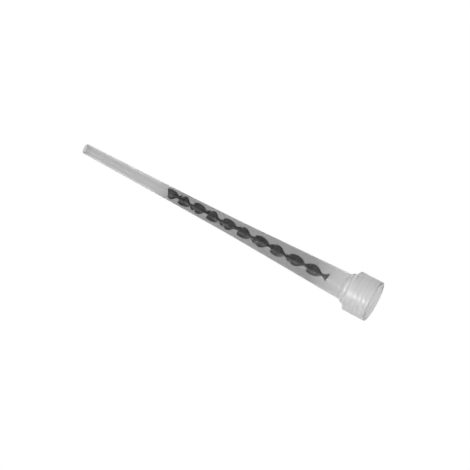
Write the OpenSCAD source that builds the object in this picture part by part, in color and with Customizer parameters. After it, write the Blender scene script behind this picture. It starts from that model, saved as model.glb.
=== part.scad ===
// Static mixing nozzle for two-part resin. A tapering translucent tube has a screw-on cup at
// its wide end, and a helical mixing element is pushed into it from there.
// The nozzle stands on its mouth, with the tip up and the axis of the tube along Z.

/* [Overall] */
// Length from the mouth to the tip, along the nozzle
nozzle_len = 188; // [170:1:230]
// Wall of the tube
tube_wall = 0.7; // [0.5:0.05:1.2]

/* [Cup] */
// Bore of the cup, at the bottom of its thread
socket_d = 20.5; // [17:0.25:26]
// Wall of the cup
cup_wall = 1.25; // [1:0.05:3]
// Depth of the bore of the cup
socket_depth = 11.8; // [8:0.2:20]
// Thickness of the cup's floor
floor_t = 1.1; // [0.8:0.1:2.5]
// Bevel on the edges of the mouth
rim_bevel = 0.4; // [0.1:0.1:0.6]

/* [Collar] */
// Wall of the collar between the cup and the tube
collar_wall = 1.95; // [1:0.05:2.5]
// Length of the collar's straight side
collar_len = 1.6; // [0.6:0.2:6]
// Length of the slope between the cup and the collar
shoulder_len = 1.6; // [0.4:0.2:5]
// Length of the slope between the collar and the tube
collar_slope_len = 1; // [0.2:0.2:4]

/* [Tube] */
// Bore at the collar, where the tube is widest
throat_d = 13.7; // [11:0.1:14.5]
// Bore at the knee, where the steep taper of the wide part ends
knee_bore_d = 8.05; // [7:0.05:10]
// Length of the slim bore round the mixing element, from its seat to the knee
snug_len = 42.5; // [20:0.5:60]
// Bore at the tip
outlet_d = 4.5; // [3:0.1:4.9]
// Height of the step that the mixing element butts against
seat_step = 0.35; // [0.2:0.05:0.5]
// Bevel round the outside of the tip
tip_bevel = 0.3; // [0.1:0.05:0.5]

/* [Mixing element] */
// Diameter over the blades
mixer_d = 6; // [5.8:0.1:6.8]
// Number of twisted blades, each a half turn
blade_count = 10; // [6:1:12]
// Length of the blade nearest the tip
first_blade_len = 8.8; // [7:0.1:10]
// Length of the blade nearest the cup
last_blade_len = 11.9; // [9:0.1:13]
// Thickness of a blade along its middle
blade_core_t = 1.3; // [0.8:0.1:2]
// Thickness of a blade at its edges
blade_edge_t = 0.8; // [0.5:0.05:1.2]
// How far crossed blades run into each other
blade_overlap = 0.6; // [0.3:0.1:1]
// Distance from the mouth to the mixing element
mixer_inset = 28; // [24:0.5:40]
// Clearance round the mixing element at its seat
mixer_clearance = 0.1; // [0.05:0.05:0.3]
// Gap between the end of the mixing element and its seat
seat_gap = 0.05; // [0:0.05:0.3]

/* [Hidden] */

round_fn = 96;
blade_slices = 20;

// Radii, and stations along the nozzle measured from the mouth
socket_r = socket_d / 2;
cup_r = socket_r + cup_wall;
throat_r = throat_d / 2;
collar_r = throat_r + collar_wall;
knee_r = knee_bore_d / 2;
seat_r = mixer_d / 2 + mixer_clearance;
outlet_r = outlet_d / 2;
tip_r = outlet_r + tube_wall;
// The corners of a blade's section lie on the circle over the blades
blade_half_w = sqrt(mixer_d * mixer_d - blade_edge_t * blade_edge_t) / 2;

cup_len = socket_depth + floor_t;
collar_z = cup_len + shoulder_len;
collar_top_z = collar_z + collar_len;
tube_z = collar_top_z + collar_slope_len;
blade_step = (last_blade_len - first_blade_len) / (blade_count - 1);
mixer_len = blade_count * (first_blade_len + last_blade_len) / 2;
mixer_top_z = mixer_inset + mixer_len;
seat_z = mixer_top_z + seat_gap;
knee_z = seat_z - snug_len;

// Distance from the tip end of the mixing element to the start of blade i
function blade_start(i) = i * first_blade_len + blade_step * i * (i - 1) / 2;
function blade_len(i) = first_blade_len + i * blade_step;

// Half the section of the tube, collar and cup, from the mouth up to the tip and back inside
module nozzle_section() {
    polygon([
        [cup_r - rim_bevel, 0],
        [cup_r, rim_bevel],
        [cup_r, cup_len],
        [collar_r, collar_z],
        [collar_r, collar_top_z],
        [throat_r + tube_wall, tube_z],
        [knee_r + tube_wall, knee_z],
        [seat_r + tube_wall, seat_z],
        [tip_r, nozzle_len - tip_bevel],
        [tip_r - tip_bevel, nozzle_len],
        [outlet_r, nozzle_len],
        [seat_r - seat_step, seat_z],
        [seat_r, seat_z],
        [knee_r, knee_z],
        [throat_r, tube_z],
        [throat_r, socket_depth],
        [socket_r, socket_depth],
        [socket_r, rim_bevel],
        [socket_r + rim_bevel, 0]
    ]);
}

// Section of a blade: thick along its middle and thinner at its edges
module blade_section() {
    polygon([
        [-blade_half_w, -blade_edge_t / 2],
        [0, -blade_core_t / 2],
        [blade_half_w, -blade_edge_t / 2],
        [blade_half_w, blade_edge_t / 2],
        [0, blade_core_t / 2],
        [-blade_half_w, blade_edge_t / 2]
    ]);
}

// One blade, a half turn long, run on at both ends into the blades that it crosses
module blade(length, half_turn, runs_up, runs_down) {
    turn_rate = half_turn / length;
    translate([0, 0, -length - runs_down])
        rotate([0, 0, turn_rate * runs_down])
            linear_extrude(
                height = length + runs_up + runs_down,
                twist = turn_rate * (length + runs_up + runs_down),
                slices = blade_slices
            )
                blade_section();
}

module nozzle_body() {
    color([0.80, 0.80, 0.80, 0.5])
        rotate_extrude($fn = round_fn)
            nozzle_section();
}

// The blades turn left and right in turn, each set square to the one before
module mixing_element() {
    color([0.20, 0.20, 0.21])
        for (i = [0 : blade_count - 1])
            translate([0, 0, mixer_top_z - blade_start(i)])
                rotate([0, 0, 90 * (i % 2)])
                    blade(
                        blade_len(i),
                        i % 2 == 0 ? 180 : -180,
                        i == 0 ? 0 : blade_overlap / 2,
                        i == blade_count - 1 ? 0 : blade_overlap / 2
                    );
}

nozzle_body();
mixing_element();
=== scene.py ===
import math

import bpy
from mathutils import Matrix, Vector


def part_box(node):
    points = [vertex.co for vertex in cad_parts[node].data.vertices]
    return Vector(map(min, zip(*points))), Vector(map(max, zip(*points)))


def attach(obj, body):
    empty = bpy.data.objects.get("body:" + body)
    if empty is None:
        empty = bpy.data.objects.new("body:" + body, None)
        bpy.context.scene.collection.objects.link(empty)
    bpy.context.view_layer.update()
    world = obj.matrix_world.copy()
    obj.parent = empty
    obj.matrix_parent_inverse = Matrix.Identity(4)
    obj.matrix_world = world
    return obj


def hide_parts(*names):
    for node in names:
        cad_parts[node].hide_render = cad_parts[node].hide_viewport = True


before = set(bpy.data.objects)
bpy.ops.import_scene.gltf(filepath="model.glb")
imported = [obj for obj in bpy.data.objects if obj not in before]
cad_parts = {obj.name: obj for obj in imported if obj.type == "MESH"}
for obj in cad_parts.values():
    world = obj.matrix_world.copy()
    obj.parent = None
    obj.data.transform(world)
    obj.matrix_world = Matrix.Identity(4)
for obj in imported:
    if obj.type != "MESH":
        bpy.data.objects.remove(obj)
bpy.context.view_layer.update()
mm = 0.001
hairline = 0.001  # mm, for merging points and finding those on a plane
tolerance = 0.01  # mm, for finding points and faces by their place
colourA, colourB, colourOut = 6, 7, 2  # the colour sockets of a Mix node
print("frame loaded:", ", ".join(sorted(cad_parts)))


# sRGB hex to linear
def linearColour(hexColour):
    channels = [int(hexColour[i:i + 2], 16) / 255 for i in (1, 3, 5)]
    linear = [c / 12.92 if c <= 0.04045 else ((c + 0.055) / 1.055) ** 2.4 for c in channels]
    return (*linear, 1.0)


def addNode(tree, kind, inputs=None, links=None, **settings):
    node = tree.nodes.new(kind)
    for name, value in settings.items():
        setattr(node, name, value)
    for socket, value in (inputs or {}).items():
        node.inputs[socket].default_value = value
    for socket, source in (links or {}).items():
        tree.links.new(source, node.inputs[socket])
    return node


def newMaterial(name):
    material = bpy.data.materials.new(name)
    material.use_nodes = True
    material.node_tree.nodes.clear()
    return material, material.node_tree


def deselectAll():
    if bpy.context.object and bpy.context.object.mode != "OBJECT":
        bpy.ops.object.mode_set(mode="OBJECT")
    bpy.ops.object.select_all(action="DESELECT")


def applyModifier(piece, name, kind, **settings):
    bpy.context.view_layer.objects.active = piece
    modifier = piece.modifiers.new(name, kind)
    for key, value in settings.items():
        setattr(modifier, key, value)
    bpy.ops.object.modifier_apply(modifier=name)


def dress(piece, materials, node):
    piece.data.materials.clear()
    for material in materials:
        piece.data.materials.append(material)
    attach(piece, "root")
    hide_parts(node)


# Moulded natural polypropylene: uncoloured and milky. The tube's thin wall lets the light through
# and softens it a little, so the blades show dark and slightly veiled. It is palest at both ends
# and greyer round the mixing element: that grey is painted shade, standing for the shade that the
# dark element casts in the wall.
thinWall = {
    "name": "mouldedNaturalPolypropylene",
    "colours": [  # by height, mm
        # the grey from 38 to 125 mm is painted shade of the dark mixing element
        (20, "#e8e8e8"), (38, "#a1a1a1"), (125, "#a1a1a1"),
        (140, "#e6e6e6"), (183, "#e6e6e6"), (188, "#c4c4c4"),
    ],
    "streak": 0.93,  # shade of the streaks
    "transmission": 0.97,
    "ior": 1.49,
    "gloss": 0.2,  # share of the plain reflection, kept low so that the blades stay dark behind it
    "roughness": (0.19, 0.21),
    "streakWidth": 1.4,  # mm, faint lines left by the plastic's flow along the mould
    "streakLength": 30,  # mm
    "grain": 0.5,  # mm, the fine sandblast of the mould, drawn coarser so that it shows
    "grainDepth": 0.0005,  # mm
}

# The bore of the tube: formed on a polished core, so it is smoother than the outside. Round the
# mixing element the bore is white and all the painted shade is on the outside, so the tube's
# outlines are as dark as its middle.
boreWall = dict(
    thinWall,
    name="polishedNaturalPolypropylene",
    colours=[(20, "#dedede"), (38, "#ffffff"), (125, "#ffffff"), (140, "#d2d2d2")],
    roughness=(0.1, 0.13),
)

# The tip past the mixing element: a frosted wall with nothing behind it, so it looks plain.
tipWall = dict(thinWall, name="frostedNaturalPolypropylene", roughness=(0.36, 0.38))

# Inside the cup: the wall is thicker and scatters more, so it looks milkier.
thickWall = {
    "name": "thickNaturalPolypropylene",
    "colours": [(0, "#e8e8e8"), (17, "#e8e8e8")],
    "streak": 0.95,
    "transmission": 0.85,
    "ior": 1.49,
    "gloss": 1.0,
    "roughness": (0.3, 0.34),
    "streakWidth": 2.2,
    "streakLength": 9,
    "grain": 0.5,
    "grainDepth": 0.003,
}

# Outside of the cup and collar: paler bands over the thread's ridges, with painted shade between
# them that stands for the thread seen through the milky wall. The plastic has sunk a little behind
# each ridge, as it does where a moulding is thick, which breaks up the highlight. The collar is a
# little greyer: painted shade that tones down the light on its slope.
threadedWall = dict(
    thickWall,
    name="sunkAndBandShadedPolypropylene",
    # the collar's greyer colour is painted shade, toning down the light on its slope
    colours=[(0, "#f6f6f6"), (13, "#f6f6f6"), (14.5, "#ededed"), (17, "#ededed")],
    transmission=0.72,
    roughness=(0.28, 0.3),
    sinkPitch=2.5,  # mm, the pitch of the thread
    sinkDepth=0.05,  # mm
    paintedBandShade=0.92,  # painted shade between the bands
    sinkTop=(11.4, 10.2),  # mm, heights where the bands end
)


def naturalPolypropylene(look):
    material, tree = newMaterial(look["name"])
    place = addNode(tree, "ShaderNodeTexCoord")
    across = 1 / (look["streakWidth"] * mm)
    along = 1 / (look["streakLength"] * mm)
    stretch = addNode(tree, "ShaderNodeMapping", {"Scale": (across, across, along)},
                      {"Vector": place.outputs["Object"]})
    streaks = addNode(tree, "ShaderNodeTexNoise", {"Scale": 1.0, "Detail": 2.0},
                      {"Vector": stretch.outputs["Vector"]})
    grain = addNode(tree, "ShaderNodeTexNoise", {"Scale": 1 / (look["grain"] * mm), "Detail": 3.0},
                    {"Vector": place.outputs["Object"]})
    height = addNode(tree, "ShaderNodeSeparateXYZ", links={0: place.outputs["Object"]})
    lowest, highest = look["colours"][0][0], look["colours"][-1][0]
    share = addNode(tree, "ShaderNodeMapRange", {"From Min": lowest * mm, "From Max": highest * mm},
                    {"Value": height.outputs["Z"]})
    shade = addNode(tree, "ShaderNodeValToRGB", links={"Fac": share.outputs["Result"]})
    stops = shade.color_ramp.elements
    while len(stops) < len(look["colours"]):
        stops.new(0.5)
    for stop, (at, colour) in zip(stops, look["colours"]):
        stop.position = (at - lowest) / (highest - lowest)
        stop.color = linearColour(colour)
    tint = addNode(tree, "ShaderNodeMix", {colourB: (look["streak"],) * 3 + (1,)},
                   {0: streaks.outputs["Fac"], colourA: shade.outputs["Color"]},
                   data_type="RGBA", blend_type="MULTIPLY")
    low, high = look["roughness"]
    rough = addNode(tree, "ShaderNodeMapRange", {"To Min": low, "To Max": high},
                    {"Value": grain.outputs["Fac"]})
    bump = addNode(tree, "ShaderNodeBump", {"Strength": 1.0, "Distance": look["grainDepth"] * mm},
                   {"Height": grain.outputs["Fac"]})
    if "sinkPitch" in look:
        # a wave that climbs round the axis like the thread, and fades out above it; it sinks the
        # surface and sets the painted shade between the bands
        turn = addNode(tree, "ShaderNodeMath", operation="ARCTAN2",
                       links={0: height.outputs["Y"], 1: height.outputs["X"]})
        climb = addNode(tree, "ShaderNodeMath", {1: math.tau / (look["sinkPitch"] * mm)},
                        {0: height.outputs["Z"]}, operation="MULTIPLY")
        screw = addNode(tree, "ShaderNodeMath", links={0: climb.outputs[0], 1: turn.outputs[0]},
                        operation="SUBTRACT")
        wave = addNode(tree, "ShaderNodeMath", links={0: screw.outputs[0]}, operation="COSINE")
        end, start = look["sinkTop"]
        fade = addNode(tree, "ShaderNodeMapRange", {"From Min": end * mm, "From Max": start * mm},
                       {"Value": height.outputs["Z"]})
        sinkAndBandShade = addNode(tree, "ShaderNodeMath", operation="MULTIPLY",
                       links={0: wave.outputs[0], 1: fade.outputs["Result"]})
        between = addNode(tree, "ShaderNodeMapRange", {"From Min": -1.0, "From Max": 1.0},
                          {"Value": sinkAndBandShade.outputs[0]})
        # painted shade between the thread's bands
        tint = addNode(tree, "ShaderNodeMix", {colourB: (look["paintedBandShade"],) * 3 + (1,)},
                       {0: between.outputs["Result"], colourA: tint.outputs[colourOut]},
                       data_type="RGBA", blend_type="MULTIPLY")
        bump = addNode(tree, "ShaderNodeBump",
                       {"Strength": 1.0, "Distance": look["sinkDepth"] * mm},
                       {"Height": sinkAndBandShade.outputs[0], "Normal": bump.outputs["Normal"]})
    shader = addNode(tree, "ShaderNodeBsdfPrincipled",
                     {"Transmission Weight": look["transmission"], "IOR": look["ior"],
                      "Specular Tint": (look["gloss"],) * 3 + (1,)},
                     {"Base Color": tint.outputs[colourOut], "Roughness": rough.outputs["Result"],
                      "Normal": bump.outputs["Normal"]})
    addNode(tree, "ShaderNodeOutputMaterial", links={"Surface": shader.outputs["BSDF"]})
    return material


# Dark grey moulded plastic of the mixing blades: satin, with faint flow marks. The faces are a
# little paler, and the edges near the bore are darkened with painted shade, where the wall is
# close.
darkPlastic = {
    "colour": "#4a4a4c",
    "flowColour": "#3c3c3e",
    "edgeShadeColour": "#101011",
    "edge": (2.2, 2.7),  # mm from the axis, where the painted shade on the edges starts and where it is full
    "ior": 1.5,
    "roughness": (0.38, 0.5),
    "flowMark": 2.5,  # mm
    "grain": 0.25,  # mm
    "grainDepth": 0.006,  # mm
}


def darkGreyPlastic(look):
    material, tree = newMaterial("mouldedDarkGreyPlastic")
    place = addNode(tree, "ShaderNodeTexCoord")
    flow = addNode(tree, "ShaderNodeTexNoise",
                   {"Scale": 1 / (look["flowMark"] * mm), "Detail": 3.0},
                   {"Vector": place.outputs["Object"]})
    grain = addNode(tree, "ShaderNodeTexNoise", {"Scale": 1 / (look["grain"] * mm), "Detail": 2.0},
                    {"Vector": place.outputs["Object"]})
    tint = addNode(tree, "ShaderNodeMix",
                   {colourA: linearColour(look["colour"]),
                    colourB: linearColour(look["flowColour"])},
                   {0: flow.outputs["Fac"]}, data_type="RGBA")
    level = addNode(tree, "ShaderNodeVectorMath", {1: (1, 1, 0)}, {0: place.outputs["Object"]},
                    operation="MULTIPLY")
    radius = addNode(tree, "ShaderNodeVectorMath", links={0: level.outputs["Vector"]},
                     operation="LENGTH")
    start, end = look["edge"]
    # painted shade on the blade edges, starting 2.2 mm from the axis and full at 2.7 mm
    edgeShade = addNode(tree, "ShaderNodeMapRange", {"From Min": start * mm, "From Max": end * mm},
                     {"Value": radius.outputs["Value"]})
    tint = addNode(tree, "ShaderNodeMix", {colourB: linearColour(look["edgeShadeColour"])},
                   {0: edgeShade.outputs["Result"], colourA: tint.outputs[colourOut]},
                   data_type="RGBA")
    low, high = look["roughness"]
    rough = addNode(tree, "ShaderNodeMapRange", {"To Min": low, "To Max": high},
                    {"Value": grain.outputs["Fac"]})
    bump = addNode(tree, "ShaderNodeBump", {"Strength": 1.0, "Distance": look["grainDepth"] * mm},
                   {"Height": grain.outputs["Fac"]})
    shader = addNode(tree, "ShaderNodeBsdfPrincipled", {"IOR": look["ior"]},
                     {"Base Color": tint.outputs[colourOut], "Roughness": rough.outputs["Result"],
                      "Normal": bump.outputs["Normal"]})
    addNode(tree, "ShaderNodeOutputMaterial", links={"Surface": shader.outputs["BSDF"]})
    return material


# Nozzle: one moulding of tube, collar and cup, turned from its section. All sizes in mm.
nozzle = {
    "sides": 144,
    "wall": 0.7,
    "socketRadius": 10.25,
    "socketDepth": 11.8,
    "floor": 1.1,
    "cupWall": 1.23,
    "throatRadius": 6.85,
    "collarWall": 1.95,
    "collarLength": 1.6,
    "shoulderLength": 1.6,
    "tubeHeight": 17.1,
    "kneeRadius": 4.025,
    "kneeHeight": 89.05,
    "seatRadius": 3.1,
    "seatHeight": 131.55,
    "seatStep": 0.35,
    "outletRadius": 2.25,
    "edgeRounding": 0.35,
    "collarRounding": 0.72,
    "taperRounding": 6.0,
    "throatRounding": 1.0,
    "seatRounding": 0.1,
    "outletRounding": 0.175,
    "cornerSteps": 4,
    "cornerReach": 0.45,  # most that a rounded corner takes of a side
    "threadPitch": 2.5,
    "threadHeight": 0.75,
    "threadFoot": 0.31,  # half the ridge's width at its foot, in pitches
    "threadSlope": 0.17,  # width of its sloped side, in pitches
    "threadRunOut": 0.5,  # pitches over which it fades at its ends
    "threadFrom": 0.9,
    "threadTo": 11.2,
    "threadLoops": 80,
    "rimHeight": 0.4,  # the plain lip below the cup's inner wall
    "wallDepth": 0.05,  # how far past its radius the inner wall is still looked for
    "smoothAngle": 40,  # degrees
}


# Rounds the corners of a closed outline: each corner is (radius, height, rounding)
def roundedOutline(corners, steps, reach):
    outline = []
    for i, (radius, height, rounding) in enumerate(corners):
        corner = Vector((radius, height))
        back = Vector(corners[i - 1][:2]) - corner
        ahead = Vector(corners[(i + 1) % len(corners)][:2]) - corner
        if rounding == 0:
            outline.append(corner)
            continue
        start = corner + back.normalized() * min(rounding, back.length * reach)
        end = corner + ahead.normalized() * min(rounding, ahead.length * reach)
        for k in range(steps + 1):
            t = k / steps
            outline.append(start * (1 - t) ** 2 + corner * 2 * t * (1 - t) + end * t ** 2)
    return outline


# Turns an outline round the axis: a circle that is extruded from point to point and closed
def turnOutline(name, outline, sides):
    deselectAll()
    first = outline[0]
    bpy.ops.mesh.primitive_circle_add(vertices=sides, radius=first.x * mm,
                                      location=(0, 0, first.y * mm))
    piece = bpy.context.object
    piece.name = name
    bpy.ops.object.transform_apply(location=True)
    bpy.ops.object.mode_set(mode="EDIT")
    bpy.ops.mesh.select_all(action="SELECT")
    for here, there in zip(outline, outline[1:] + outline[:1]):
        rise = (there.y - here.y) * mm
        grow = there.x / here.x
        bpy.ops.mesh.extrude_region_move(TRANSFORM_OT_translate={"value": (0, 0, rise)})
        bpy.ops.transform.resize(value=(grow, grow, 1), center_override=(0, 0, there.y * mm))
    bpy.ops.mesh.select_all(action="SELECT")
    bpy.ops.mesh.remove_doubles(threshold=hairline * mm)
    bpy.ops.mesh.normals_make_consistent(inside=False)
    bpy.ops.object.mode_set(mode="OBJECT")
    return piece


# Share of the thread's height at a share of its pitch: flat crest, smooth sides, flat root
def threadShape(size, share):
    fromCrest = abs(share - 0.5)
    slope = (size["threadFoot"] - fromCrest) / size["threadSlope"]
    slope = min(1, max(0, slope))
    return slope * slope * (3 - 2 * slope)


def cutThread(piece, size):
    wall = size["socketRadius"] * mm
    low, high = size["threadFrom"], size["threadTo"]
    fade = size["threadPitch"] * size["threadRunOut"]
    for vertex in piece.data.vertices:
        x, y, z = vertex.co
        height = z / mm
        if abs(math.hypot(x, y) - wall) > tolerance * mm or not low < height < high:
            continue
        turn = math.atan2(y, x) / math.tau
        share = (height / size["threadPitch"] - turn) % 1
        ends = min(1, (height - low) / fade, (high - height) / fade)
        ridge = size["threadHeight"] * mm * threadShape(size, share) * ends
        vertex.co.xy *= (wall - ridge) / wall
    piece.data.update()


def makeNozzle(size):
    cupRadius = size["socketRadius"] + size["cupWall"]
    collarRadius = size["throatRadius"] + size["collarWall"]
    cupTop = size["socketDepth"] + size["floor"]
    collarFrom = cupTop + size["shoulderLength"]
    collarTo = collarFrom + size["collarLength"]
    tubeFrom = size["tubeHeight"]
    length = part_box("nozzle_body")[1].z / mm
    soft = size["edgeRounding"]
    corners = [
        (cupRadius, 0, soft),
        (cupRadius, cupTop, soft),
        (collarRadius, collarFrom, soft),
        (collarRadius, collarTo, size["collarRounding"]),
        (size["throatRadius"] + size["wall"], tubeFrom, size["collarRounding"]),
        (size["kneeRadius"] + size["wall"], size["kneeHeight"], size["taperRounding"]),
        (size["seatRadius"] + size["wall"], size["seatHeight"], size["taperRounding"]),
        (size["outletRadius"] + size["wall"], length, soft),
        (size["outletRadius"], length, size["outletRounding"]),
        (size["seatRadius"] - size["seatStep"], size["seatHeight"], size["seatRounding"]),
        (size["seatRadius"], size["seatHeight"], size["seatRounding"]),
        (size["kneeRadius"], size["kneeHeight"], size["taperRounding"]),
        (size["throatRadius"], tubeFrom, size["throatRounding"]),
        (size["throatRadius"], size["socketDepth"], soft),
        (size["socketRadius"], size["socketDepth"], soft),
    ]
    # close rows of edges down the cup's inner wall, for the thread
    rows = size["threadLoops"]
    span = size["threadTo"] - size["threadFrom"]
    corners += [(size["socketRadius"], size["threadTo"] - span * k / rows, 0)
                for k in range(rows + 1)]
    corners += [(size["socketRadius"], 0, soft)]
    outline = roundedOutline(corners, size["cornerSteps"], size["cornerReach"])
    piece = turnOutline("nozzleBody", outline, size["sides"])
    cutThread(piece, size)
    deselectAll()
    piece.select_set(True)
    bpy.context.view_layer.objects.active = piece
    bpy.ops.object.shade_smooth_by_angle(angle=math.radians(size["smoothAngle"]))
    return piece


# Mixing element: a row of half-turn blades, left and right handed in turn. All sizes in mm.
mixer = {
    "diameter": 6.0,
    "count": 10,
    "firstLength": 8.8,
    "lastLength": 11.9,
    "coreThickness": 1.3,
    "edgeThickness": 0.8,
    "overlap": 0.6,  # how far crossed blades run into each other
    "rings": 48,
    "edgeRounding": 0.16,
    "edgeSegments": 3,
    "edgeAngle": 40,  # degrees, sharper edges are rounded
    "smoothAngle": 35,  # degrees
}


# One blade: a bar that is thickest along its middle, twisted by half a turn over its length
def makeBlade(size, length, hand, runUp, runDown):
    halfWidth = math.sqrt(size["diameter"] ** 2 - size["edgeThickness"] ** 2) / 2
    total = length + runUp + runDown
    middle = (runUp - runDown) / 2
    deselectAll()
    bpy.ops.mesh.primitive_cube_add(size=1)
    blade = bpy.context.object
    bpy.ops.object.mode_set(mode="EDIT")
    bpy.ops.mesh.select_all(action="SELECT")
    bpy.ops.transform.resize(value=(2 * halfWidth * mm, size["edgeThickness"] * mm, total * mm),
                             center_override=(0, 0, 0))
    bpy.ops.transform.translate(value=(0, 0, middle * mm))
    bpy.ops.mesh.bisect(plane_co=(0, 0, 0), plane_no=(1, 0, 0))
    bpy.ops.mesh.select_all(action="DESELECT")
    bpy.ops.object.mode_set(mode="OBJECT")
    for vertex in blade.data.vertices:
        vertex.select = abs(vertex.co.x) < hairline * mm
    bpy.ops.object.mode_set(mode="EDIT")
    bpy.ops.transform.resize(value=(1, size["coreThickness"] / size["edgeThickness"], 1),
                             center_override=(0, 0, middle * mm))
    bpy.ops.mesh.select_all(action="DESELECT")
    bpy.ops.object.mode_set(mode="OBJECT")
    applyModifier(blade, "roundedEdges", "BEVEL", width=size["edgeRounding"] * mm,
                  segments=size["edgeSegments"], limit_method="ANGLE",
                  angle_limit=math.radians(size["edgeAngle"]))
    bpy.ops.object.mode_set(mode="EDIT")
    bpy.ops.mesh.select_mode(type="EDGE")
    bpy.ops.mesh.select_all(action="DESELECT")
    bpy.ops.object.mode_set(mode="OBJECT")
    # the edges that run along the blade are cut into rings
    for edge in blade.data.edges:
        a, b = (blade.data.vertices[i].co for i in edge.vertices)
        edge.select = abs(a.z - b.z) > total / 2 * mm
    bpy.ops.object.mode_set(mode="EDIT")
    bpy.ops.mesh.subdivide(number_cuts=size["rings"] - 1)
    bpy.ops.mesh.select_mode(type="VERT")
    bpy.ops.object.mode_set(mode="OBJECT")
    applyModifier(blade, "halfTurn", "SIMPLE_DEFORM", deform_method="TWIST", deform_axis="Z",
                  angle=hand * math.pi * total / length)
    return blade


def makeMixer(size):
    step = (size["lastLength"] - size["firstLength"]) / (size["count"] - 1)
    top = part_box("mixing_element")[1].z
    blades = []
    for i in range(size["count"]):
        length = size["firstLength"] + i * step
        runUp = 0 if i == 0 else size["overlap"] / 2
        runDown = 0 if i == size["count"] - 1 else size["overlap"] / 2
        hand = -1 if i % 2 == 0 else 1
        blade = makeBlade(size, length, hand, runUp, runDown)
        turn = math.radians(90 if i % 2 == 0 else 180)  # each stands square to the one before
        place = Matrix.Translation((0, 0, top - length / 2 * mm))
        blade.data.transform(place @ Matrix.Rotation(turn, 4, "Z"))
        top -= length * mm
        blades.append(blade)
    piece = blades[0]
    piece.name = "mixingElement"
    for blade in blades[1:]:
        deselectAll()
        applyModifier(piece, "crossing", "BOOLEAN", operation="UNION", solver="EXACT", object=blade)
        bpy.data.objects.remove(blade)
    deselectAll()
    piece.select_set(True)
    bpy.context.view_layer.objects.active = piece
    bpy.ops.object.shade_smooth_by_angle(angle=math.radians(size["smoothAngle"]))
    return piece


nozzleWalls = [thinWall, boreWall, threadedWall, thickWall, tipWall]


# Which of the walls a face of the nozzle belongs to
def wallAt(size, polygon):
    x, y, z = polygon.center / mm
    if z > size["tubeHeight"]:
        if polygon.normal.x * x + polygon.normal.y * y < 0:
            return boreWall
        return tipWall if z > size["seatHeight"] else thinWall
    withinCup = size["rimHeight"] < z < size["socketDepth"] + tolerance
    if withinCup and math.hypot(x, y) < size["socketRadius"] + size["wallDepth"]:
        return thickWall
    return threadedWall


nozzlePiece = makeNozzle(nozzle)
dress(nozzlePiece, [naturalPolypropylene(wall) for wall in nozzleWalls],
      "nozzle_body")
for polygon in nozzlePiece.data.polygons:
    polygon.material_index = nozzleWalls.index(wallAt(nozzle, polygon))
print("nozzle turned:", len(nozzlePiece.data.polygons), "faces")
mixerPiece = makeMixer(mixer)
dress(mixerPiece, [darkGreyPlastic(darkPlastic)], "mixing_element")
print("mixing element joined:", len(mixerPiece.data.polygons), "faces")


# Studio: a pale floor that is clear from below, since the photo looks up into the cup a little
studio = {
    "floorSize": 40.0,  # m
    "floorColour": "#f4f4f4",
    "floorGlow": 0.6,  # share of plain white in the floor that is seen
    "worldLight": 0.55,
    "aimHeight": 0.01,  # m, where the lamps point
    "lamps": [
        # name, direction from the nozzle, distance (m), size (m), power (W)
        ("softbox", (0.35, -0.45, 0.95), 1.0, 0.9, 3.4),
        ("highlight", (0.454, -0.891, 0.245), 3.0, 1.08, 41.4),
    ],
}


# 1 for what the camera sees, also in reflections and through the wall
def seenRays(tree):
    path = addNode(tree, "ShaderNodeLightPath")
    first = addNode(tree, "ShaderNodeMath", operation="MAXIMUM",
                    links={0: path.outputs["Is Camera Ray"], 1: path.outputs["Is Glossy Ray"]})
    return addNode(tree, "ShaderNodeMath", operation="MAXIMUM",
                   links={0: first.outputs[0], 1: path.outputs["Is Transmission Ray"]}).outputs[0]


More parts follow.
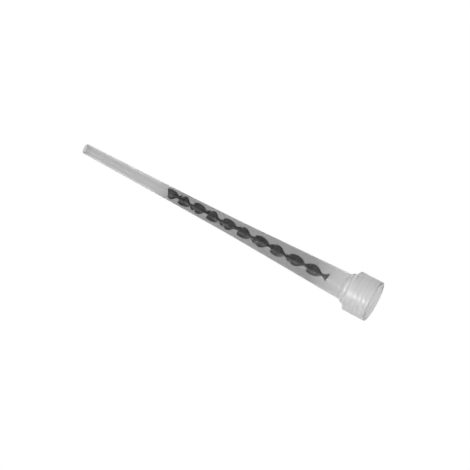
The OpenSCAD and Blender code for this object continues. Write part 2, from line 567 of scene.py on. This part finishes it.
def makeStudio(look):
    deselectAll()
    bpy.ops.mesh.primitive_plane_add(size=look["floorSize"])
    floor = bpy.context.object
    floor.name = "studioFloor"
    material, tree = newMaterial("paleFloor")
    diffuse = addNode(tree, "ShaderNodeBsdfDiffuse", {"Color": linearColour(look["floorColour"])})
    white = addNode(tree, "ShaderNodeEmission", {"Strength": 1.0})
    glow = addNode(tree, "ShaderNodeMath", {1: look["floorGlow"]}, {0: seenRays(tree)},
                   operation="MULTIPLY")
    lit = addNode(tree, "ShaderNodeMixShader",
                  links={0: glow.outputs[0], 1: diffuse.outputs[0], 2: white.outputs[0]})
    side = addNode(tree, "ShaderNodeNewGeometry")
    clear = addNode(tree, "ShaderNodeBsdfTransparent")
    both = addNode(tree, "ShaderNodeMixShader",
                   links={0: side.outputs["Backfacing"], 1: lit.outputs[0], 2: clear.outputs[0]})
    addNode(tree, "ShaderNodeOutputMaterial", links={"Surface": both.outputs[0]})
    floor.data.materials.append(material)

    world = bpy.data.worlds.new("studio")
    bpy.context.scene.world = world
    world.use_nodes = True
    tree = world.node_tree
    tree.nodes.clear()
    dim = addNode(tree, "ShaderNodeBackground",
                  {"Color": (1, 1, 1, 1), "Strength": look["worldLight"]})
    white = addNode(tree, "ShaderNodeBackground", {"Color": (1, 1, 1, 1), "Strength": 1.0})
    mixed = addNode(tree, "ShaderNodeMixShader",
                    links={0: seenRays(tree), 1: dim.outputs[0], 2: white.outputs[0]})
    addNode(tree, "ShaderNodeOutputWorld", links={"Surface": mixed.outputs[0]})

    foot = Vector((0, 0, look["aimHeight"]))
    for name, direction, distance, size, power in look["lamps"]:
        place = foot + Vector(direction).normalized() * distance
        bpy.ops.object.light_add(type="AREA", location=place)
        lamp = bpy.context.object
        lamp.name = name
        lamp.data.energy = power
        lamp.data.size = size
        lamp.rotation_euler = (foot - place).to_track_quat("-Z", "Y").to_euler()


# Camera: the photo's view, up into the mouth a little and rolled so that the nozzle lies across
view = {
    "azimuth": 50.0,
    "elevation": -16.7,
    "roll": -61.94,
    "aim": (-2.2, -2.5, 85.4),  # mm
    "distance": 769.0,  # mm
    "focalPixels": 1400.0,
    "imageWidth": 470.0,  # pixels
    "sensorWidth": 36.0,  # mm
    "clipStart": 0.01,  # m
}


def makeCamera(look):
    azimuth, elevation, roll = (math.radians(look[k]) for k in ("azimuth", "elevation", "roll"))
    back = Vector((math.sin(azimuth) * math.cos(elevation),
                   -math.cos(azimuth) * math.cos(elevation),
                   math.sin(elevation)))
    right = Vector((math.cos(azimuth), math.sin(azimuth), 0))
    up = back.cross(right)
    turnedRight = right * math.cos(roll) + up * math.sin(roll)
    turnedUp = up * math.cos(roll) - right * math.sin(roll)
    bpy.ops.object.camera_add()
    camera = bpy.context.object
    turn = Matrix((turnedRight, turnedUp, back)).transposed().to_4x4()
    place = (Vector(look["aim"]) + back * look["distance"]) * mm
    camera.matrix_world = Matrix.Translation(place) @ turn
    camera.data.sensor_width = look["sensorWidth"]
    camera.data.lens = look["focalPixels"] / look["imageWidth"] * look["sensorWidth"]
    camera.data.clip_start = look["clipStart"]
    bpy.context.scene.camera = camera


makeStudio(studio)
makeCamera(view)
bpy.context.scene.view_settings.view_transform = "Standard"
print("studio and camera placed")
